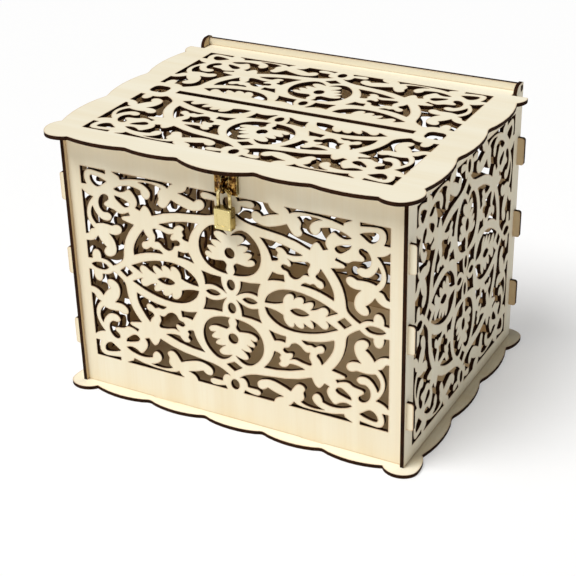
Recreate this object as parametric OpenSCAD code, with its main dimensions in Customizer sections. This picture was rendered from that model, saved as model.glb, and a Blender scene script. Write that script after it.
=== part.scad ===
// Laser-cut plywood card box with a hinged fretwork lid, a brass hasp and a small padlock.
// Millimetres. X runs to the right, Y to the back and Z up. The box stands on Z = 0.

/* [Box] */
// Thickness of the plywood sheets
sheet = 3; // [2.5:0.25:4]
// Width over the outer faces of the side panels
body_w = 272; // [264:2:290]
// Depth of the side panels from front edge to back edge
body_d = 210; // [200:2:230]
// Height of the side panels above the base board
body_h = 206.5; // [200:0.5:220]
// Distance of the front and back panels from the side panels' edges
inset = 2.7; // [2:0.1:4]

/* [Fretwork] */
// Solid border left and right of the front and back windows
front_border = 10.5; // [9:0.5:14]
// Solid border above and below the front and back windows
front_rail = 24.75; // [22:0.25:28]
// Solid border around the side windows, front and back
side_border = 14; // [12:0.5:18]
// Solid border around the side windows, top and bottom
side_rail = 11; // [9:0.5:14]
// Turn that one straight facet of the fretwork may span, in degrees
facet_turn = 28; // [12:2:40]
// Turn that one straight facet of the scalloped edges may span, in degrees
edge_turn = 6; // [4:1:20]

/* [Tabs] */
// Height of the tabs that lock the front and back panels into the sides
tab_h = 22; // [18:1:26]
// Distance between neighbouring tabs
tab_pitch = 60.5; // [50:0.5:64]
// How far the tabs stand out of the side panels
tab_reach = 5.4; // [3:0.2:8]
// Width of the tabs that stand in the base board
foot_w = 19; // [14:1:26]
// Distance of the base tabs from the middle
foot_x = 63; // [50:1:80]

/* [Lid] */
// Length of the card slot
slot_l = 194; // [160:2:200]
// Width of the card slot
slot_w = 5.5; // [4.5:0.5:8]
// Height of the solid band that carries the slot
band_w = 23.5; // [20:0.5:30]
// Gap between the closed lid and the panels
lid_gap = 0.2; // [0.1:0.05:0.4]
// Height of the hinge rail
rail_h = 6; // [5:0.5:8]
// Diameter of the hinge hole in each ear
hinge_bore = 5.2; // [5:0.1:5.6]
// Side gap between the lid and each ear
ear_gap = 0.6; // [0.3:0.1:1]

/* [Hasp] */
// Distance of the hasp to the right of the middle
hasp_x = 1; // [-2:0.5:4]
// Width of the hasp leaf
leaf_w = 18; // [17:0.5:24]
// Thickness of the brass plates
plate_t = 1; // [0.8:0.1:1.2]
// Diameter of the staple wire
staple_d = 2; // [1.6:0.2:2.4]

/* [Padlock] */
// Width of the padlock body
lock_w = 13.2; // [13.2:0.2:16]
// Depth of the padlock body
lock_t = 6.6; // [5.4:0.2:7]
// Height of the padlock body
lock_h = 15.8; // [15:0.2:22]
// Diameter of the shackle
shackle_d = 2.6; // [2.2:0.1:2.8]
// Distance between the shackle's legs
leg_pitch = 9; // [8.8:0.1:9.4]

/* [Hidden] */

$fn = 32;
wood = "wheat";
brass = "goldenrod";
steel = "silver";

// The base reaches further back than the lid reaches forward, so the box centre sits off the origin
lid_front = 20.5;
base_lip = 3.2;
base_corner = 6;
base_back = base_lip + base_corner;
centre_y = (lid_front - base_back) / 2;

// Levels
floor_z = sheet;
panel_top = floor_z + body_h;
lid_z = panel_top + lid_gap;
lid_top = lid_z + sheet;
back_drop = 1;

// Fretwork drawing, made for a window of this size and stretched to each panel's window
draw_w = 245;
draw_h = 157;

// Side faces
inner_x = body_w / 2 - sheet;
front_y = -body_d / 2;
tab_rows = [-tab_pitch, 0, tab_pitch];
tab_mid = body_h / 2 - 1.25;
tab_round = 2;
fit = 0.1;

// Ears and hinge: the pivot runs along X through both ears
ear_front = body_d / 2 - 14;
ear_rise = 10;
hinge_y = body_d / 2 - 3.5;
hinge_z = lid_top + 2.5;
rail_tab = 4;
lid_back = body_d / 2 - 2;
notch_y = ear_front - 0.8;

// Hasp and staple
panel_face = front_y + inset;
plate_face = panel_face - plate_t;
plate_w = 18;
plate_z0 = panel_top - 22.2;
plate_h = 17;
leaf_back = plate_face - 0.9;
leaf_z0 = panel_top - 22.8;
leaf_reach = 12.5;
fork_w = 5.4;
fork_top = 15;
boss_r = 6.5;
boss_h = 1.5;
boss_up = 2;
screw_d = 1.6;
screw_head = 3;
head_h = 0.5;
staple_y = front_y - 2.5;
staple_r = 4;
staple_z = panel_top - 16.1;

// Padlock, hanging with its arch through the staple
lock_y = front_y - 3;
arch_z = staple_z - 1.6;
arch_r = leg_pitch / 2;
lock_top = arch_z - 13.5;
lock_z = lock_top - lock_h;
leg_bore = shackle_d + 0.4;
long_leg = lock_h - 4;
short_leg = 6.1;
plug_d = 4.4;
plug_h = lock_h - 5.5;
bolt_z = lock_z + plug_h + 0.4;
bolt_h = 1.6;
bolt_travel = 1.1;
cam_d = 0.8;
skin = 0.4;

// ---- Outlines: smooth through [x, y], with a corner at [x, y, 1] ----

function xy(p) = [p[0], p[1]];
function at(p, i) = p[(i + len(p)) % len(p)];
function is_corner(p) = len(p) == 3;
function unit(v) = v / norm(v);
function angle_between(a, b) = acos(max(-1, min(1, a * b)));
function mirrored(d, u) = 2 * (d * u) * u - d;

function heading(p, i) =
    unit(unit(xy(at(p, i)) - xy(at(p, i - 1))) + unit(xy(at(p, i + 1)) - xy(at(p, i))));

function hermite(b, c, hb, hc, t) =
    b * (2 * t * t * t - 3 * t * t + 1) + hb * (t * t * t - 2 * t * t + t)
    + c * (3 * t * t - 2 * t * t * t) + hc * (t * t * t - t * t);

function span(p, i, facet) =
    let (b = at(p, i), c = at(p, i + 1), run = xy(c) - xy(b), u = unit(run),
         hb = !is_corner(b) ? heading(p, i) : is_corner(c) ? u : mirrored(heading(p, i + 1), u),
         hc = !is_corner(c) ? heading(p, i + 1) : is_corner(b) ? u : mirrored(heading(p, i), u),
         turn = angle_between(hb, u) + angle_between(u, hc),
         steps = max(1, ceil(turn / facet - 0.01)))
    [for (k = [0 : steps - 1]) hermite(xy(b), xy(c), hb * norm(run), hc * norm(run), k / steps)];

function smooth(p, facet) = [for (i = [0 : len(p) - 1]) for (q = span(p, i, facet)) q];

module shape(p, facet = facet_turn) polygon(smooth(p, facet));

// ---- Fretwork: one quarter of the drawing, from its centre to the upper right corner ----

centre_pane = [[8, 14, 1], [15.5, 14.2], [24, 15.6, 1], [22, 10.5], [21.4, 5, 1], [15.5, 6.2],
               [10, 5], [4, 1.7, 1], [7.2, 7.5]];

// Ring with a flower inside: the gap runs between the ring and the flower's toothed edge
flower_gap = [[2.2, 17.6, 1], [10, 18.4], [18, 21.6], [23.3, 28], [25, 35.5], [23.8, 42.5],
              [20, 48.5], [15.5, 52.4], [10.5, 53.8], [5.5, 52], [1.5, 48.2, 1], [6, 49.6],
              [10.3, 49.6], [12.2, 47.8], [10.7, 44.6], [6.6, 41.4, 1], [13.4, 42.4],
              [15, 41.4], [14.4, 39.6], [11.4, 37, 1], [16.4, 37.6], [18, 36.6], [17.4, 34.6],
              [14.7, 31.6, 1], [18.8, 32.4], [20.2, 30.3], [18, 27.7], [12, 26.6], [5.6, 27.4, 1],
              [2.8, 24.6], [3.7, 21.2]];

upper_pane = [[24.6, 51.9, 1], [35, 51.2], [46, 49], [57.6, 45, 1], [51, 43.3], [45.6, 43.5, 1],
              [43.2, 46.4], [40, 47.5], [36.7, 45.6], [38.5, 42.8], [37.3, 40.2], [38.6, 37.8],
              [36.2, 36.4], [33.5, 36, 1], [30.6, 44]];

lower_pane = [[29.8, 19.7, 1], [34, 27.4, 1], [38, 26.4], [42.6, 26.9, 1], [43.3, 21.7, 1],
              [37, 21.4]];

tulip = [[46, 39.9, 1], [50.6, 38.5], [56, 39.9], [61.5, 40.6], [63.3, 39.3], [61.4, 35],
         [62.3, 30, 1], [58.2, 30.2], [55.2, 27.2], [51, 25.4], [47.4, 27], [45.6, 30],
         [42.2, 31], [40.8, 33.2], [42.8, 35], [48, 34.3], [48.6, 36]];

bud_pane = [[55.8, 21.6, 1], [59.5, 24.3], [63, 23.8], [65.8, 25], [68.2, 23.2], [71.6, 22.4],
            [73.6, 24.6], [72.2, 28], [69, 29.3], [67.3, 31.3], [69.4, 33.8], [71.2, 37.8, 1],
            [77.5, 29], [80.8, 21.5], [81, 15.5, 1], [71, 19.4], [62, 21.2]];

// Almond with a toothed leaf inside
leaf_gap = [[27, 1.8, 1], [30.2, 8.6], [38.5, 14.2], [50, 16.2], [63, 14.6], [74, 11.2],
            [84, 6.5, 1], [80, 4.4], [75, 1.9, 1], [77, 5.3], [75.2, 8.3], [71.5, 8.1],
            [67.8, 5.6], [63, 4, 1], [65.4, 8], [64.8, 10.3], [61.3, 9.8], [57.3, 7.8, 1],
            [57.7, 11.2], [55.4, 12.4], [50, 9.2, 1], [49.8, 12.3], [47.4, 13.3], [43.8, 11.4],
            [42, 8.5], [41.5, 4.8, 1], [35, 2.6]];

// Wide gap between the quatrefoil band and the scrolls along the right border
side_scrolls = [[79, 40, 1], [84, 40.9], [88.6, 42], [89.6, 43.7], [87, 45.3], [82, 46.8, 1],
                [83.2, 49, 1], [88, 46.9], [92, 46.7], [95.5, 48.8], [100, 49.6], [103.8, 50.9],
                [103.3, 53.2], [100.2, 55.6], [100, 58.4], [102.8, 59.6], [106.2, 57.9],
                [108.6, 53.6], [108, 48], [104.8, 45.2], [101, 45.4], [98.2, 43.2], [99.2, 40.2],
                [103, 38.6], [108, 39.6], [111.8, 43.4], [114.2, 48.5, 1], [116.2, 43.5],
                [115.4, 38.3], [112.5, 34.4, 1], [106, 35.9], [98.6, 35.4], [94.8, 36.9],
                [91, 36], [90.2, 33], [92.2, 30], [96.5, 28.3], [101.6, 28.4, 1], [97.6, 23.5],
                [96.2, 18], [97.4, 12.8], [100.4, 10.2], [104.2, 9.4], [107, 10.9], [107.3, 13.6],
                [104.8, 17, 1], [108.6, 20.2], [111.8, 24.8, 1], [115, 21.2], [119, 19.4],
                [124, 19.1, 1], [124, 4.5, 1], [118.6, 5.1, 1], [118.4, 9.4], [116.2, 12.8],
                [112.6, 12.8], [110.9, 10], [110.8, 6.5, 1], [106, 6], [103, 4.6], [100.5, 2.5, 1],
                [95, 6], [91, 10.2], [89.8, 18], [87.6, 26.5], [84, 33.5]];

border_wedge = [[113, 55.8, 1], [118.2, 57.2], [124, 61.4, 1], [124, 24.8, 1], [120.2, 25.4],
                [118, 28.8], [114.4, 30.3, 1], [118, 34.4], [119.8, 40.3], [118.6, 47.6]];

corner_gap = [[100.6, 80, 1], [100.8, 75.7, 1], [107, 76.6], [113, 77.2], [117.6, 76],
              [119.5, 72], [117.9, 65, 1], [124, 64.8, 1], [124, 80, 1]];

corner_drop = [[100.3, 69.9, 1], [105, 71.8], [110.4, 72.9], [114, 72.4], [114.2, 69.4],
               [111.6, 65.8], [108.2, 64.7], [104, 67.2]];

top_sliver = [[41.5, 80, 1], [46.4, 77.2], [48.3, 74.3, 1], [52, 76.2], [60, 77], [70, 76.8],
              [80, 75.7], [88.4, 73.6, 1], [89.4, 76], [93, 77.7], [98, 80, 1]];

// Wide gap between the quatrefoil band and the scrolls along the upper border
top_scrolls = [[6.3, 80, 1], [8.3, 75.7, 1], [13, 77], [18, 77.5], [21, 76], [21, 73.6],
               [18, 72.2], [10.6, 72.3, 1], [10.3, 69.5], [8.6, 66.6], [6.2, 65.7], [4, 66.3, 1],
               [10, 62.3], [18, 59.8], [30, 58.2], [42, 56.8], [53, 54.2], [63.2, 50.3, 1],
               [65, 54.4], [68.5, 57.3], [71, 55.6], [73.2, 52.3, 1], [77, 53.7, 1], [75, 57.6],
               [76, 62], [79, 66], [81.6, 67.3], [85, 65.2], [89, 63.9], [94.5, 65.3, 1],
               [89, 68.2], [80, 69.9], [71.4, 68.2, 1], [70.5, 64.5], [67.4, 62.2], [64.2, 64],
               [63.3, 67.9], [66.6, 72], [73, 74.3, 1], [65, 75.3], [58.4, 74.6], [54, 72.8, 1],
               [57, 69], [56.4, 64.6], [57.8, 61.6], [56, 58.9], [52, 58.5], [48.6, 61.8],
               [46, 66, 1], [38, 62.8], [30, 61], [22.6, 62.5], [18.8, 66], [19.6, 70],
               [23, 70.9], [27, 68.2, 1], [33, 70.5], [40, 72.3, 1], [35.4, 73.8], [32.8, 76.4],
               [32, 80, 1]];

leaf_eye = [[82, 55.8], [85.6, 58.3], [90, 59.6], [94.2, 60.2, 1], [93.5, 58], [91.5, 56],
            [88.9, 54], [86.4, 52.6], [83.4, 53.2]];

quarter_gaps = [centre_pane, flower_gap, upper_pane, lower_pane, tulip, bud_pane, leaf_gap,
                side_scrolls, border_wedge, corner_gap, corner_drop, top_sliver, top_scrolls,
                leaf_eye];

// Gaps that lie across the drawing's axes, given as their upper or right half
petal_eye = [[9, 0, 1], [12, 1.9], [15.2, 2.3], [18.4, 1.7], [21, 0, 1]];
almond_eye = [[47, 0, 1], [50, 2.1], [54, 2.8], [58, 2.1], [62, 0, 1]];
end_eye = [[104.6, 0, 1], [108, 2.4], [112.5, 2.8], [117, 1.9], [120, 0, 1]];
side_diamond = [[83.6, 0, 1], [89, 4.3, 1], [94.4, 0, 1]];
top_diamond = [[0, 61.5, 1], [6.6, 57.1, 1], [0, 53.7, 1]];

// Round and oval gaps on the upright axis: height above the centre, half width, half height
axis_ovals = [[9.3, 3.2, 4.2], [34.3, 4, 4.1], [72.8, 3.5, 4.2]];

module fret_quarter(axis_gaps = true) {
    for (gap = quarter_gaps) shape(gap);
    if (axis_gaps) for (gap = [petal_eye, almond_eye, end_eye, side_diamond]) shape(gap);
    shape(top_diamond);
    for (o = axis_ovals) translate([0, o[0]]) scale([o[1], o[2]]) circle(r = 1, $fn = 20);
}

module fret_half(axis_gaps = true) {
    fret_quarter(axis_gaps);
    mirror([1, 0]) fret_quarter(axis_gaps);
}

// All the gaps of one window, w by h
module fret(w, h) {
    intersection() {
        square([w, h], center = true);
        scale([w / draw_w, h / draw_h]) {
            fret_half();
            mirror([0, 1]) fret_half();
        }
    }
}

// The same for the lid: the halves are drawn apart by a solid band
lid_split = 8.5;

module lid_fret(w, h) {
    half_scale = (h / 2 - lid_split) / (draw_h / 2);
    intersection() {
        square([w, h], center = true);
        for (side = [0, 1]) mirror([0, side]) intersection() {
            translate([0, lid_split]) scale([w / draw_w, half_scale]) fret_half(false);
            translate([-w / 2, band_w / 2]) square([w, h]);
        }
    }
}

// ---- Scalloped outlines ----

// Lobes from one end to the other: cusps at the given places, each lobe with its own bulge
function lobes(cusps, bulges) =
    [for (i = [0 : len(cusps) - 1])
        for (q = i == len(bulges) ? [[cusps[i], 0, 1]]
                 : [[cusps[i], 0, 1], [(cusps[i] + cusps[i + 1]) / 2, bulges[i]]]) q];

function placed(p, origin, along, out) =
    [for (q = p) let (s = origin + along * q[0] + out * q[1]) is_corner(q) ? [s[0], s[1], 1] : s];

module mirror_copy() {
    children();
    mirror([1, 0]) children();
}

lobe_out = 4.2;
lid_side_x = 141.6;
lid_front_y = front_y - 11.7;
lid_cusps_y = [-84.7, -28.2, 28.2, 84.7];
lid_mid_y = -8.4;
base_side_x = 141.2;
base_front_y = front_y - base_lip;
base_cusps_x = [0, 24.5, 73, 121];
base_cusps_y = [-84, -28, 28, 84];

// Right half of the lid's outline
module lid_half_outline() {
    front = placed(lobes([30, 72, 120], [3, 3]), [0, lid_front_y], [1, 0], [0, -1]);
    side = placed(lobes(lid_cusps_y, [lobe_out, lobe_out, lobe_out]), [lid_side_x, lid_mid_y],
                  [0, 1], [1, 0]);
    corner = [[127, lid_front_y - 3], [136, lid_front_y - 2.4], [143, front_y - 8],
              [146, front_y + 0.5], [145, front_y + 7]];
    rear = [[145.6, lid_mid_y + 92], [145, notch_y, 1], [inner_x - ear_gap, notch_y, 1],
            [inner_x - ear_gap, lid_back, 1], [-fit, lid_back, 1], [-fit, front_y - lid_front, 1],
            [14, lid_front_y - 7], [23, lid_front_y - 3.6]];
    shape(concat(front, corner, side, rear), edge_turn);
}

// One quarter of the base board's outline, right front
module base_quarter_outline() {
    front = placed(lobes(base_cusps_x, [lobe_out, lobe_out, lobe_out]), [0, base_front_y],
                   [1, 0], [0, -1]);
    first = [[0, base_front_y - lobe_out, 1], [13, base_front_y - 3.2]];
    corner = [[125.5, base_front_y - base_corner + 2], [133, base_front_y - base_corner],
              [140.5, base_front_y - base_corner + 2], [145, front_y - 2.5], [146, front_y + 6],
              [144.6, front_y + 14]];
    side = placed(lobes([-84, -28], [lobe_out]), [base_side_x, 0], [0, 1], [1, 0]);
    last = [[base_side_x + 3.2, -14], [base_side_x + lobe_out, 0, 1], [0, 0, 1]];
    tail = [for (i = [2 : len(front) - 1]) front[i]];
    shape(concat(first, tail, corner, side, last), edge_turn);
}

// ---- Placing: a zero offset joins a flat drawing into clean outlines before it is extruded ----

module on_box() translate([0, centre_y, 0]) children();

// Sheets drawn flat, stood up facing the front, with their front face at y
module facing_front(y, t) on_box() translate([0, y + t, 0]) rotate([90, 0, 0])
    linear_extrude(t) offset(delta = 0) children();

// Sheets drawn flat, stood up facing right, with their left face at x
module facing_right(x) on_box() translate([x, 0, 0]) rotate([90, 0, 90])
    linear_extrude(sheet) offset(delta = 0) children();

module rounded(w, h, r) offset(r) square([w - 2 * r, h - 2 * r], center = true);

// ---- Wooden pieces ----

module base_board() color(wood) on_box() linear_extrude(sheet) offset(delta = 0) difference() {
    for (x = [0, 1], y = [0, 1]) mirror([x, 0]) mirror([0, y]) base_quarter_outline();
    for (x = [-foot_x, foot_x], y = [-1, 1])
        translate([x, y * (body_d / 2 - inset - sheet / 2)]) square([foot_w, sheet], center = true);
}

// Front or back panel with its side tabs and base tabs, drawn standing on the floor
module end_panel(drop) {
    difference() {
        union() {
            translate([-inner_x, floor_z]) square([2 * inner_x, body_h - drop]);
            for (row = tab_rows) translate([0, floor_z + tab_mid + row])
                rounded(body_w + 2 * tab_reach, tab_h, tab_round);
            for (x = [-foot_x, foot_x]) translate([x - foot_w / 2, 0]) square([foot_w, floor_z + 1]);
        }
        translate([0, floor_z + body_h / 2])
            fret(2 * (inner_x - front_border), body_h - 2 * front_rail);
    }
}

module front_panel() color(wood) difference() {
    facing_front(panel_face, sheet) end_panel(0);
    staple_fixings() cylinder(d = screw_d, h = 3 * sheet, center = true);
    on_box() for (z = [-staple_r, staple_r]) translate([hasp_x, panel_face, staple_z + z])
        rotate([90, 0, 0]) cylinder(d = staple_d, h = 3 * sheet, center = true);
}

module back_panel() color(wood) facing_front(-panel_face - sheet, sheet) end_panel(back_drop);

// Side panel with the ear that carries the hinge, drawn with the front edge to the left
module side_panel() {
    ear = [[ear_front, panel_top - 1, 1], [ear_front, lid_top, 1], [ear_front + 2.2, lid_top + 4.8],
           [ear_front + 7, panel_top + ear_rise, 1], [body_d / 2 - 2, panel_top + ear_rise, 1],
           [body_d / 2 - 0.6, panel_top + ear_rise - 0.6],
           [body_d / 2, panel_top + ear_rise - 2, 1], [body_d / 2, panel_top - 1, 1]];
    difference() {
        union() {
            translate([front_y, floor_z]) square([body_d, body_h]);
            shape(ear, edge_turn);
        }
        translate([0, floor_z + body_h / 2])
            fret(body_d - 2 * side_border, body_h - 2 * side_rail);
        for (row = tab_rows, y = [-1, 1])
            translate([y * (body_d / 2 - inset - sheet / 2), floor_z + tab_mid + row])
                square([sheet, tab_h], center = true);
    }
}

module hinge_hole(x) on_box() translate([x, hinge_y, hinge_z]) rotate([0, 90, 0])
    cylinder(d = hinge_bore, h = 3 * sheet, center = true);

module left_panel() color(wood) difference() {
    facing_right(-body_w / 2) side_panel();
    hinge_hole(-inner_x - sheet / 2);
}

module right_panel() color(wood) difference() {
    facing_right(inner_x) side_panel();
    hinge_hole(inner_x + sheet / 2);
}

module lid_panel() color(wood) difference() {
    on_box() translate([0, 0, lid_z]) linear_extrude(sheet) offset(delta = 0) difference() {
        mirror_copy() lid_half_outline();
        translate([0, lid_mid_y + 1.3]) {
            lid_fret(242, 179.5);
            square([slot_l, slot_w], center = true);
            for (x = [-112.5, 112.5]) translate([x, 0]) rounded(14, 13, 4.5);
        }
    }
    leaf_fixings() cylinder(d = screw_d, h = 2 * (sheet - 0.5), center = true);
}

// The rail stands on the lid's back edge, and its end tabs turn in the ears
module hinge_rail() color(wood) facing_front(hinge_y - sheet / 2, sheet) {
    translate([-inner_x + ear_gap, lid_top]) square([2 * (inner_x - ear_gap), rail_h]);
    translate([-body_w / 2, hinge_z - rail_tab / 2]) square([body_w, rail_tab]);
}

// ---- Hasp ----

module leaf_fixings() on_box() for (x = [-6.5, 6.5])
    translate([hasp_x + x, leaf_back - leaf_reach + 4.5, lid_z]) children();

// Rounded swelling of the leaf around the staple, facing the front
module boss() {
    ball_r = (boss_r * boss_r + boss_h * boss_h) / (2 * boss_h);
    intersection() {
        translate([0, ball_r - boss_h, 0]) sphere(r = ball_r);
        translate([-boss_r, -boss_h, -boss_r]) cube([2 * boss_r, boss_h + plate_t / 2, 2 * boss_r]);
    }
}

// Leaf bent down from under the lid; its fork straddles the staple
module hasp_leaf() color(brass) difference() {
    on_box() translate([hasp_x, 0, 0]) {
        translate([-leaf_w / 2, leaf_back - leaf_reach, lid_z - plate_t])
            cube([leaf_w, leaf_reach, plate_t]);
        translate([-leaf_w / 2, leaf_back - plate_t, leaf_z0])
            cube([leaf_w, plate_t, lid_z - leaf_z0]);
        translate([0, leaf_back - plate_t, staple_z + boss_up]) boss();
    }
    on_box() translate([hasp_x, leaf_back, 0]) {
        translate([-fork_w / 2, -4 * plate_t, leaf_z0 - 1]) cube([fork_w, 5 * plate_t, fork_top + 1]);
        translate([0, 0, leaf_z0 + fork_top]) rotate([90, 0, 0])
            cylinder(d = fork_w, h = 8 * plate_t, center = true);
    }
    leaf_fixings() cylinder(d = screw_d, h = 4 * plate_t, center = true);
}

// Round-head screw, pointing up, with its head under the plate
module screw(grip) {
    cylinder(d = screw_d, h = grip);
    translate([0, 0, -head_h]) difference() {
        cylinder(d1 = screw_head - 0.8, d2 = screw_head, h = head_h);
        translate([-screw_head, -0.2, -1]) cube([2 * screw_head, 0.4, 1.25]);
    }
}

module hasp_screws() color(brass) leaf_fixings() translate([0, 0, -plate_t])
    screw(plate_t + sheet - 0.6);

module staple_fixings() on_box() for (x = [-6.5, 6.5], z = [2.8, plate_h - 2.8])
    translate([hasp_x + x, plate_face, plate_z0 + z]) rotate([-90, 0, 0]) children();

module staple_plate() color(brass) difference() {
    on_box() translate([hasp_x - plate_w / 2, plate_face, plate_z0]) cube([plate_w, plate_t, plate_h]);
    staple_fixings() cylinder(d = screw_d, h = 4 * plate_t, center = true);
    on_box() for (z = [-staple_r, staple_r]) translate([hasp_x, plate_face, staple_z + z])
        rotate([90, 0, 0]) cylinder(d = staple_d, h = 4 * plate_t, center = true);
}

module staple_screws() color(brass) staple_fixings() screw(plate_t + sheet);

// Wire loop through the plate and the panel, open towards X so that the shackle passes it
module staple_loop() color(brass) on_box() translate([hasp_x, 0, staple_z]) {
    for (z = [-staple_r, staple_r]) translate([0, staple_y, z]) rotate([-90, 0, 0])
        cylinder(d = staple_d, h = panel_face + sheet - staple_y);
    translate([0, staple_y, 0]) rotate([0, 90, 0]) rotate([0, 0, 180]) rotate_extrude(angle = 180)
        translate([staple_r, 0]) circle(d = staple_d);
}

// ---- Padlock ----

module in_lock() on_box() translate([hasp_x, lock_y, 0]) children();

// Bow with a long leg on the left and a notched short leg on the right
module shackle() color(steel) in_lock() difference() {
    union() {
        translate([0, 0, arch_z - arch_r]) rotate([90, 0, 0]) rotate_extrude(angle = 180)
            translate([arch_r, 0]) circle(d = shackle_d);
        translate([-arch_r, 0, lock_top - long_leg])
            cylinder(d = shackle_d, h = arch_z - arch_r - lock_top + long_leg);
        translate([arch_r, 0, lock_top - short_leg])
            cylinder(d = shackle_d, h = arch_z - arch_r - lock_top + short_leg);
    }
    translate([arch_r - shackle_d, -shackle_d, bolt_z - 0.2])
        cube([shackle_d / 2 + 0.7, 2 * shackle_d, bolt_h + 0.4]);
}

module lock_body() color(brass) in_lock() difference() {
    translate([0, 0, lock_z]) linear_extrude(lock_h) rounded(lock_w, lock_t, 1);
    translate([-arch_r, 0, lock_top - long_leg - 0.3]) cylinder(d = leg_bore, h = lock_h);
    translate([arch_r, 0, lock_top - short_leg - 0.3]) cylinder(d = leg_bore, h = lock_h);
    translate([0, 0, lock_z - 1]) cylinder(d = plug_d + 0.3, h = plug_h + 1.2);
    translate([-2.6, -2.2, bolt_z - 0.25]) cube([arch_r + 2.6, 4.4, bolt_h + 0.45]);
    rivet_places() cylinder(d = rivet_d, h = 2 * rivet_depth, center = true);
}

rivet_d = 0.8;
rivet_depth = 0.8;
rivet_in = 1.1;

// Corners of both faces, with Z pointing out of the body
module rivet_places() for (side = [0, 180], x = [-1, 1], z = [-1, 1]) rotate([0, 0, side])
    translate([x * (lock_w / 2 - rivet_in), -lock_t / 2, lock_z + lock_h / 2 + z * (lock_h / 2 - rivet_in)])
        rotate([90, 0, 0]) children();

// Stamped cover with a raised rim around a plain field
module cover_plate() difference() {
    linear_extrude(skin) rounded(lock_w - 0.6, lock_h - 0.8, 1.2);
    translate([0, 0, skin / 2]) linear_extrude(skin) rounded(lock_w - 5, lock_h - 6, 1.5);
}

module lock_front_plate() color(brass) difference() {
    in_lock() translate([0, -lock_t / 2, lock_z + lock_h / 2]) rotate([90, 0, 0]) cover_plate();
    in_lock() rivet_places() cylinder(d = rivet_d, h = 2 * rivet_depth, center = true);
}

module lock_back_plate() color(brass) difference() {
    in_lock() translate([0, lock_t / 2, lock_z + lock_h / 2]) rotate([-90, 0, 0]) cover_plate();
    in_lock() rivet_places() cylinder(d = rivet_d, h = 2 * rivet_depth, center = true);
}

module lock_rivets() color(brass) in_lock() rivet_places() {
    translate([0, 0, -rivet_depth]) cylinder(d = rivet_d, h = rivet_depth + skin);
    translate([0, 0, skin]) cylinder(d1 = 1.3, d2 = 0.9, h = 0.25);
}

// Keyed plug that turns about its own axis; its cam pin drives the bolt
module key_plug() color(steel) in_lock() translate([0, 0, lock_z]) {
    difference() {
        translate([0, 0, 0.1]) cylinder(d = plug_d, h = plug_h);
        translate([-0.4, -1.6, -1]) cube([0.8, 3.2, plug_h - 3]);
    }
    translate([0, bolt_travel, plug_h]) cylinder(d = cam_d, h = bolt_h + 0.3);
}

// The bolt is drawn back at rest; a quarter turn of the plug pushes it into the shackle's notch
module lock_bolt() color(steel) in_lock() difference() {
    translate([-2.3, -2, bolt_z]) cube([4.9, 4, bolt_h]);
    translate([-cam_d / 2 - 0.35, -cam_d / 2 - 0.15, bolt_z - 1])
        cube([cam_d + 0.7, cam_d + bolt_travel + 0.3, bolt_h + 2]);
}

base_board();
front_panel();
back_panel();
left_panel();
right_panel();
lid_panel();
hinge_rail();
hasp_leaf();
hasp_screws();
staple_plate();
staple_loop();
staple_screws();
shackle();
lock_body();
lock_front_plate();
lock_back_plate();
lock_rivets();
key_plug();
lock_bolt();
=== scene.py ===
"""Looks for a laser-cut plywood card box: fretwork sheets with burnt edges, a brass hasp and a small padlock."""

import math

import bmesh
import bpy
from mathutils import Matrix, Vector


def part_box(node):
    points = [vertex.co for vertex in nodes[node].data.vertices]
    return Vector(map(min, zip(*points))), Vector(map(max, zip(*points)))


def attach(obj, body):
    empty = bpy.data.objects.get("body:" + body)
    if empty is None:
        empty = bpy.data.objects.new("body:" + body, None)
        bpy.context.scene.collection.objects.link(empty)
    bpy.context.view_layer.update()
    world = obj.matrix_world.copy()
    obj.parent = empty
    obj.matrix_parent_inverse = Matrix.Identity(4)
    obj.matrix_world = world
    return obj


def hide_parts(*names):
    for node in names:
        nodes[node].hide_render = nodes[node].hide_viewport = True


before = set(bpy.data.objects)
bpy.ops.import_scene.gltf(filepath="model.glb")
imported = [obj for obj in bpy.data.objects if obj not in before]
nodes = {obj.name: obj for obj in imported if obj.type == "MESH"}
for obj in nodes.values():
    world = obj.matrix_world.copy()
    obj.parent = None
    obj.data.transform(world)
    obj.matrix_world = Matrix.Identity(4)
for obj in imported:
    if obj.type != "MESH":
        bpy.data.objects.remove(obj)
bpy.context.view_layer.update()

MM = 0.001
AXES = X, Y, Z = 0, 1, 2

# ---- Sheets: the CAD outlines, redrawn with smooth curves and a softened edge ----

EDGE_ROUND = 0.16 * MM
# Points closer than this are one point.
SAME_PLACE = 0.002 * MM
# A point of an outline is left out below the first turn, and stays a sharp corner above the second.
STRAIGHT_TURN = math.radians(0.5)
CORNER_TURN = math.radians(46)
# Turn from one point of a redrawn curve to the next.
CURVE_STEP = math.radians(8)
# A side this many times longer than its neighbour is taken to be straight.
LONG_SPAN = 3.0
# Faces whose normal has less than this along the sheet's thin axis belong to the cut.
CUT_TILT = 0.85


def outline_loops(node, axis):
    """Closed outlines of a sheet's face at its high side, as lists of points in the two other axes."""
    mesh = nodes[node].data
    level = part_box(node)[1][axis]
    flat = [a for a in AXES if a != axis]

    def key(i):
        co = mesh.vertices[i].co
        return (round(co[flat[0]] / SAME_PLACE), round(co[flat[1]] / SAME_PLACE))

    mesh.calc_loop_triangles()
    edges = []
    for tri in mesh.loop_triangles:
        if all(abs(mesh.vertices[i].co[axis] - level) < SAME_PLACE for i in tri.vertices):
            corners = [key(i) for i in tri.vertices]
            edges += [(a, b) for a, b in zip(corners, corners[1:] + corners[:1]) if a != b]
    known = set(edges)
    following = {a: b for a, b in edges if (b, a) not in known}
    loops = []
    while following:
        first, point = following.popitem()
        loop = [first]
        while point != first:
            loop.append(point)
            point = following.pop(point)
        loops.append([Vector(p) * SAME_PLACE for p in loop])
    return loops


def sides_at(loop, i):
    """The sides that lead to a point of a closed outline and away from it."""
    return loop[i] - loop[i - 1], loop[(i + 1) % len(loop)] - loop[i]


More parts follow.
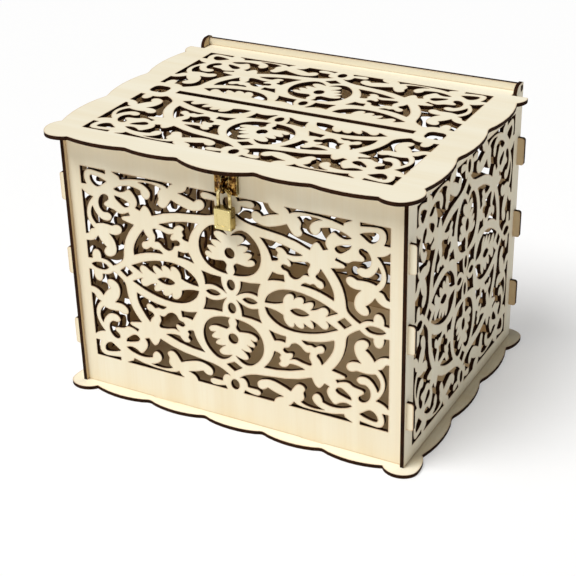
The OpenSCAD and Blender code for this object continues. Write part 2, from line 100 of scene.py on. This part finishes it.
def turn_at(loop, i):
    before, after = sides_at(loop, i)
    return before.angle(after)


def heading_at(loop, i):
    """Direction of the smooth curve through a point; a much longer neighbour keeps its own direction."""
    before, after = sides_at(loop, i)
    if before.length > LONG_SPAN * after.length:
        return before.normalized()
    if after.length > LONG_SPAN * before.length:
        return after.normalized()
    return (before.normalized() + after.normalized()).normalized()


def mirrored(direction, line):
    return 2 * direction.dot(line) * line - direction


def curve_point(a, b, out, into, length, t):
    """Point at t on the cubic curve from a to b that leaves along out and arrives along into."""
    return (a * (2 * t**3 - 3 * t**2 + 1) + b * (3 * t**2 - 2 * t**3)
            + length * (out * (t**3 - 2 * t**2 + t) + into * (t**3 - t**2)))


def smooth_loop(loop):
    """The same outline with rounded spans between its corners."""
    loop = [p for i, p in enumerate(loop) if turn_at(loop, i) > STRAIGHT_TURN]
    count = len(loop)
    corner = [turn_at(loop, i) > CORNER_TURN for i in range(count)]
    points = []
    for i in range(count):
        j = (i + 1) % count
        a, b = loop[i], loop[j]
        if corner[i] and corner[j]:
            points.append(a)
            continue
        chord = b - a
        run = chord.normalized()
        out = mirrored(heading_at(loop, j), run) if corner[i] else heading_at(loop, i)
        into = mirrored(heading_at(loop, i), run) if corner[j] else heading_at(loop, j)
        steps = max(1, math.ceil((out.angle(run) + run.angle(into)) / CURVE_STEP))
        points += [curve_point(a, b, out, into, chord.length, k / steps) for k in range(steps)]
    return points


def unit_vector(axis):
    return Vector([float(a == axis) for a in AXES])


def drawn_sheet(node, axis):
    """Mesh of a CAD sheet, filled between its smooth outlines and rounded at its edges."""
    low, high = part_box(node)
    curve = bpy.data.curves.new(node + "_outline", "CURVE")
    curve.dimensions = "2D"
    curve.fill_mode = "BOTH"
    curve.bevel_depth = EDGE_ROUND
    curve.bevel_resolution = 1
    curve.offset = -EDGE_ROUND
    curve.extrude = (high[axis] - low[axis]) / 2 - EDGE_ROUND
    for loop in outline_loops(node, axis):
        points = smooth_loop(loop)
        spline = curve.splines.new("POLY")
        spline.points.add(len(points) - 1)
        for target, p in zip(spline.points, points):
            target.co = (p.x, p.y, 0, 1)
        spline.use_cyclic_u = True
    drawn = bpy.data.objects.new(node + "_drawn", curve)
    bpy.context.scene.collection.objects.link(drawn)
    bpy.context.view_layer.update()
    mesh = bpy.data.meshes.new_from_object(drawn.evaluated_get(bpy.context.evaluated_depsgraph_get()))
    bpy.data.objects.remove(drawn)

    across, up = (unit_vector(a) for a in AXES if a != axis)
    thin = unit_vector(axis)
    place = Matrix((across, up, thin)).transposed().to_4x4()
    place.translation = thin * (low[axis] + high[axis]) / 2
    mesh.transform(place)
    bm = bmesh.new()
    bm.from_mesh(mesh)
    bmesh.ops.remove_doubles(bm, verts=bm.verts, dist=SAME_PLACE)
    bmesh.ops.dissolve_degenerate(bm, edges=bm.edges, dist=SAME_PLACE)
    bmesh.ops.recalc_face_normals(bm, faces=bm.faces)
    bm.to_mesh(mesh)
    bm.free()
    return mesh


def sheet_piece(node, axis, face_material, cut_material, body):
    """The drawn sheet with its two materials, which stands for the CAD node."""
    mesh = drawn_sheet(node, axis)
    mesh.materials.clear()
    mesh.materials.append(face_material)
    mesh.materials.append(cut_material)
    for face in mesh.polygons:
        face.material_index = int(abs(face.normal[axis]) < CUT_TILT)
    piece = bpy.data.objects.new(node + "_sheet", mesh)
    bpy.context.scene.collection.objects.link(piece)
    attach(piece, body)
    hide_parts(node)


# ---- Materials ----


class Nodes:
    """Short calls for building a material's node tree."""

    def __init__(self, name):
        self.material = bpy.data.materials.new(name)
        self.material.use_nodes = True
        self.tree = self.material.node_tree
        self.bsdf = next(n for n in self.tree.nodes if n.type == "BSDF_PRINCIPLED")
        self.at = self.add("ShaderNodeTexCoord").outputs["Object"]

    def add(self, kind, inputs=(), **settings):
        node = self.tree.nodes.new(kind)
        for name, value in settings.items():
            setattr(node, name, value)
        for name, value in dict(inputs).items():
            self.put(node.inputs[name], value)
        return node

    def put(self, socket, value):
        if isinstance(value, bpy.types.NodeSocket):
            self.tree.links.new(value, socket)
        else:
            socket.default_value = value

    def math(self, operation, a, b=0.0):
        node = self.add("ShaderNodeMath", operation=operation)
        self.put(node.inputs[0], a)
        self.put(node.inputs[1], b)
        return node.outputs[0]

    def weighted(self, a, weight_a, b, weight_b):
        """Sum of two values, each with its weight."""
        return self.math("ADD", self.math("MULTIPLY", a, weight_a), self.math("MULTIPLY", b, weight_b))

    def mix(self, factor, a, b, blend="MIX"):
        node = self.add("ShaderNodeMix", data_type="RGBA", blend_type=blend)
        self.put(node.inputs["Factor"], factor)
        self.put(node.inputs["A"], a)
        self.put(node.inputs["B"], b)
        return node.outputs["Result"]

    def span(self, value, low, high, to_low=0.0, to_high=1.0):
        """The range from low to high, stretched to another range and held at its ends."""
        node = self.add("ShaderNodeMapRange")
        for name, number in zip(("Value", "From Min", "From Max", "To Min", "To Max"),
                                (value, low, high, to_low, to_high)):
            self.put(node.inputs[name], number)
        return node.outputs["Result"]

    def noise(self, scale, detail, stretch=(1, 1, 1), shift=0.0, roughness=0.5):
        """Noise with scale features to the metre."""
        mapped = self.add("ShaderNodeMapping", {"Vector": self.at, "Scale": stretch,
                                                "Location": (shift, shift, shift)})
        node = self.add("ShaderNodeTexNoise", {"Vector": mapped.outputs[0], "Scale": scale,
                                               "Detail": detail, "Roughness": roughness})
        return node.outputs[0]

    def openness(self, distance, **settings):
        """1 where nothing is within the distance, and less towards a corner or, from inside, an edge."""
        node = self.add("ShaderNodeAmbientOcclusion", {"Distance": distance}, samples=4, **settings)
        return node.outputs["AO"]

    def along(self, axis):
        """The place along one axis."""
        return self.add("ShaderNodeSeparateXYZ", {"Vector": self.at}).outputs[axis]

    def bump(self, height, distance, strength):
        node = self.add("ShaderNodeBump", {"Height": height, "Distance": distance, "Strength": strength})
        self.put(self.bsdf.inputs["Normal"], node.outputs[0])


def srgb(r, g, b):
    """Linear colour of a display colour."""
    return tuple(((c / 255 + 0.055) / 1.055) ** 2.4 if c > 10 else c / 255 / 12.92 for c in (r, g, b)) + (1.0,)


# Wood
PALE = srgb(247, 240, 218)
STREAK = srgb(241, 229, 200)
BLOTCH = srgb(244, 234, 209)
SCORCH = srgb(190, 140, 84)
# Tints that the wood's colour is multiplied by
# The first tint is painted shade for the wood inside the box.
INTERIOR_SHADE_TINT = (0.68, 0.55, 0.39, 1.0)
WARM = (1.0, 0.95, 0.86, 1.0)
# Cut edges
BURNT = srgb(42, 20, 6)
CHARRED = srgb(13, 5, 2)
RUBBED = srgb(84, 48, 20)
PLY = 1.0 * MM
# Metal
# Painted shade colour for the metal's corners and crevices.
CREVICE_SHADE = srgb(50, 38, 12)
# Painted highlight colour for the thin edges of the metal.
EDGE_HIGHLIGHT = srgb(242, 230, 162)
# How far the painted crevice shade and the painted edge highlight reach.
CREVICE_SHADE_REACH = 1.2 * MM
EDGE_HIGHLIGHT_REACH = 0.7 * MM

SCORCH_REACH = 1.3 * MM
GRAIN_STRETCH = 0.06
PORE_STRETCH = 0.02
BRUSH_STRETCH = 0.04

# For each axis, the two sheets on either side of the room inside the box.
WALLS = [("left_panel", "right_panel"), ("front_panel", "back_panel"), ("base_board", "lid_panel")]


def mid_plane(node, axis):
    low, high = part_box(node)
    return (low[axis] + high[axis]) / 2


def stretched(axis, share):
    """Scale for noise that is drawn out along one axis."""
    return [share if a == axis else 1.0 for a in AXES]


def plywood(name, grain, shift, walled, warmth=0.0):
    """Pale veneer with its grain along one axis, scorched beside its cuts and darkened indoors by a tint of
    painted shade.

    Indoors is the space between the walls of each axis in walled.
    """
    n = Nodes(name)
    figure = n.noise(60, 5, stretched(grain, GRAIN_STRETCH), shift, roughness=0.6)
    pores = n.noise(900, 3, stretched(grain, PORE_STRETCH), shift)
    cloud = n.noise(9, 2, shift=shift)
    colour = n.mix(n.span(figure, 0.35, 0.7), PALE, STREAK)
    colour = n.mix(n.span(cloud, 0.45, 0.75, 0, 0.7), colour, BLOTCH)
    colour = n.mix(n.span(pores, 0.52, 0.72, 0, 0.3), colour, STREAK)
    open_face = n.openness(SCORCH_REACH, inside=True, only_local=True)
    scorched = n.math("MULTIPLY", n.span(open_face, 0.55, 0.98, 0.8, 0), n.span(cloud, 0.3, 0.7, 0.4, 1))
    colour = n.mix(scorched, colour, SCORCH)
    if warmth:
        colour = n.mix(warmth, colour, WARM, "MULTIPLY")

    indoors = 1.0
    for axis in walled:
        near, far = (mid_plane(node, axis) for node in WALLS[axis])
        off_centre = n.math("ABSOLUTE", n.math("SUBTRACT", n.along(axis), (near + far) / 2))
        indoors = n.math("MULTIPLY", n.math("LESS_THAN", off_centre, (far - near) / 2), indoors)
    # Painted shade: the wood indoors is multiplied by a brown tint that stands for the shade inside the box.
    painted_interior_shade = n.math("MULTIPLY", indoors, n.span(cloud, 0.3, 0.7, 0.8, 1))
    n.put(n.bsdf.inputs["Base Color"], n.mix(painted_interior_shade, colour, INTERIOR_SHADE_TINT, "MULTIPLY"))
    n.put(n.bsdf.inputs["Roughness"], n.span(pores, 0.3, 0.7, 0.55, 0.72))
    n.bsdf.inputs["Specular IOR Level"].default_value = 0.25
    n.bump(n.weighted(figure, 0.6, pores, 0.4), 0.05 * MM, 0.5)
    return n.material


def cut_edge(name, thin, shift):
    """Laser-cut edge: charred brown, with the plies showing as fine lines across the thin axis."""
    n = Nodes(name)
    char = n.noise(160, 4, shift=shift)
    plies = n.math("SINE", n.math("MULTIPLY", n.along(thin), math.tau / PLY))
    colour = n.mix(n.span(char, 0.4, 0.7), BURNT, CHARRED)
    n.put(n.bsdf.inputs["Base Color"], n.mix(n.span(plies, 0.2, 1.0, 0, 0.45), colour, RUBBED))
    n.bsdf.inputs["Roughness"].default_value = 0.85
    n.bsdf.inputs["Specular IOR Level"].default_value = 0.1
    n.bump(n.math("ADD", n.math("MULTIPLY", plies, 0.5), char), 0.05 * MM, 0.6)
    return n.material


def metal(name, colour, dark, highlight_colour, roughness, dark_share=0.3):
    """Small polished hardware: fine upright brushing, dark tarnished patches (on the hasp's gilt mostly painted
    dark reflection), painted shade in corners, painted highlights along its edges.
    """
    n = Nodes(name)
    lines = n.noise(2600, 2, stretched(Z, BRUSH_STRETCH))
    tarnish_and_reflection_patches = n.noise(330, 5)
    dents = n.noise(240, 2)
    # Dark patches: light tarnished spots on most parts; with the hasp's large dark share they are painted dark
    # reflection.
    shade = n.mix(n.span(tarnish_and_reflection_patches, 0.62 - dark_share, 0.92 - dark_share), colour, dark)
    # Painted shade: darker where other surfaces are close, in corners and crevices.
    shade = n.mix(n.span(n.openness(CREVICE_SHADE_REACH), 0.45, 0.9, 0.9, 0), shade, CREVICE_SHADE)
    # Painted highlight: lighter along thin edges, where the shine falls.
    shade = n.mix(n.span(n.openness(EDGE_HIGHLIGHT_REACH, inside=True, only_local=True), 0.5, 0.8, 0.9, 0), shade, highlight_colour)
    n.put(n.bsdf.inputs["Base Color"], shade)
    n.bsdf.inputs["Metallic"].default_value = 1.0
    n.put(n.bsdf.inputs["Roughness"], n.span(n.math("ADD", lines, tarnish_and_reflection_patches), 0.7, 1.3, roughness, roughness + 0.16))
    n.bump(n.math("ADD", n.math("MULTIPLY", lines, 0.15), dents), 0.08 * MM, 0.7)
    return n.material


face_upright = plywood("plywood_upright", Z, 0.0, (Y,), warmth=0.45)
face_side = plywood("plywood_side", Z, 5.2, (X,))
face_lid = plywood("plywood_lid", X, 8.1, (Z,))
face_flat = plywood("plywood_flat", X, 8.1, AXES)
cut_x = cut_edge("burnt_edge_side", X, 0.0)
cut_y = cut_edge("burnt_edge_front", Y, 3.7)
cut_z = cut_edge("burnt_edge_flat", Z, 8.1)
# The third colour of each metal is its painted edge highlight.
brass = metal("pale_brass", srgb(206, 188, 126), srgb(164, 142, 80), srgb(226, 208, 148), 0.14, 0.32)
gilt = metal("gilt_wire", srgb(246, 230, 174), srgb(166, 140, 80), EDGE_HIGHLIGHT, 0.08)
# Hasp and staple gilt: its many dark patches are painted dark reflection of the lid's shaded underside.
hasp_gilt = metal("hasp_gilt_painted_reflection", srgb(240, 188, 104), srgb(66, 38, 14), EDGE_HIGHLIGHT, 0.12, 0.38)
steel = metal("plain_steel", srgb(186, 180, 168), srgb(130, 120, 104), srgb(214, 210, 200), 0.3)

# ---- Pieces ----

for sheet in [
    ("base_board", Z, face_flat, cut_z, "box"),
    ("front_panel", Y, face_upright, cut_y, "box"),
    ("back_panel", Y, face_upright, cut_y, "box"),
    ("left_panel", X, face_side, cut_x, "box"),
    ("right_panel", X, face_side, cut_x, "box"),
    ("lid_panel", Z, face_lid, cut_z, "lid"),
    ("hinge_rail", Y, face_flat, cut_y, "lid"),
]:
    sheet_piece(*sheet)

SHARP_EDGE = math.radians(35)


def finish_metal(node, material, edge_width):
    """The CAD node keeps its shape and gets softened edges and its own material."""
    piece = nodes[node]
    piece.data.materials.clear()
    piece.data.materials.append(material)
    weld = piece.modifiers.new("weld", "WELD")
    weld.merge_threshold = SAME_PLACE
    if edge_width:
        bevel = piece.modifiers.new("soft_edges", "BEVEL")
        bevel.width = edge_width
        bevel.segments = 2
        bevel.limit_method = "ANGLE"
        bevel.angle_limit = SHARP_EDGE


for metal_part in [
    ("hasp_leaf", hasp_gilt, 0.2 * MM),
    ("hasp_screws", hasp_gilt, 0),
    ("staple_plate", hasp_gilt, 0.2 * MM),
    ("staple_loop", hasp_gilt, 0),
    ("staple_screws", hasp_gilt, 0),
    ("shackle", gilt, 0),
    ("lock_body", brass, 0.25 * MM),
    ("lock_front_plate", brass, 0.1 * MM),
    ("lock_back_plate", brass, 0.1 * MM),
    ("lock_rivets", gilt, 0),
    ("key_plug", steel, 0),
    ("lock_bolt", steel, 0.1 * MM),
]:
    finish_metal(*metal_part)

# ---- Stage ----

FLOOR_REACH = 6.0
# The floor also glows a little, which keeps it white and lights the box from below.
FLOOR_GREY = 0.62
FLOOR_GLOW = 0.38
SKY_LIGHT = 0.18
SUN_TRAVEL = (0.26, 0.40, -0.88)
SUN_STRENGTH = 2.95
SUN_SPREAD = math.radians(34)

floor_mesh = bpy.data.meshes.new("floor")
corners = [(x * FLOOR_REACH, y * FLOOR_REACH, 0) for x, y in ((-1, -1), (1, -1), (1, 1), (-1, 1))]
floor_mesh.from_pydata(corners, [], [(0, 1, 2, 3)])
floor = bpy.data.objects.new("floor", floor_mesh)
bpy.context.scene.collection.objects.link(floor)
floor_material = bpy.data.materials.new("pale_floor")
floor_material.use_nodes = True
floor_shader = next(n for n in floor_material.node_tree.nodes if n.type == "BSDF_PRINCIPLED")
floor_shader.inputs["Base Color"].default_value = (FLOOR_GREY, FLOOR_GREY, FLOOR_GREY, 1)
floor_shader.inputs["Emission Color"].default_value = (1, 1, 1, 1)
floor_shader.inputs["Emission Strength"].default_value = FLOOR_GLOW
floor_shader.inputs["Roughness"].default_value = 0.7
floor_mesh.materials.append(floor_material)

world = bpy.data.worlds.new("studio")
bpy.context.scene.world = world
world.use_nodes = True
sky = next(n for n in world.node_tree.nodes if n.type == "BACKGROUND")
sky.inputs["Color"].default_value = (1.0, 0.99, 0.97, 1)
sky.inputs["Strength"].default_value = SKY_LIGHT

# The photograph's plain, contrasty tones come from the display's own curve, with no filmic roll-off.
bpy.context.scene.view_settings.view_transform = "Standard"

# One broad, even light from the front left, like a large window.
sun = bpy.data.lights.new("key", "SUN")
sun.energy = SUN_STRENGTH
sun.angle = SUN_SPREAD
lamp = bpy.data.objects.new("key", sun)
lamp.rotation_mode = "QUATERNION"
lamp.rotation_quaternion = Vector(SUN_TRAVEL).to_track_quat("-Z", "Y")
bpy.context.scene.collection.objects.link(lamp)

# ---- Camera at the photograph's angle ----

EYE = Vector((0.46393, -0.85879, 0.58322))
AZIMUTH, DROP, ROLL = math.radians(-28.75), math.radians(27.86), math.radians(-1.40)
SENSOR_WIDTH, LENS = 36, 89.29

ahead = Vector((math.sin(AZIMUTH) * math.cos(DROP), math.cos(AZIMUTH) * math.cos(DROP), -math.sin(DROP)))
right = ahead.cross(Vector((0, 0, 1))).normalized()
above = right.cross(ahead)
rolled_right = math.cos(ROLL) * right + math.sin(ROLL) * above
rolled_above = -math.sin(ROLL) * right + math.cos(ROLL) * above
turned = Matrix((rolled_right, rolled_above, -ahead)).transposed().to_4x4()
camera_data = bpy.data.cameras.new("camera")
camera_data.sensor_width = SENSOR_WIDTH
camera_data.lens = LENS
camera = bpy.data.objects.new("camera", camera_data)
camera.matrix_world = Matrix.Translation(EYE) @ turned
bpy.context.scene.collection.objects.link(camera)
bpy.context.scene.camera = camera
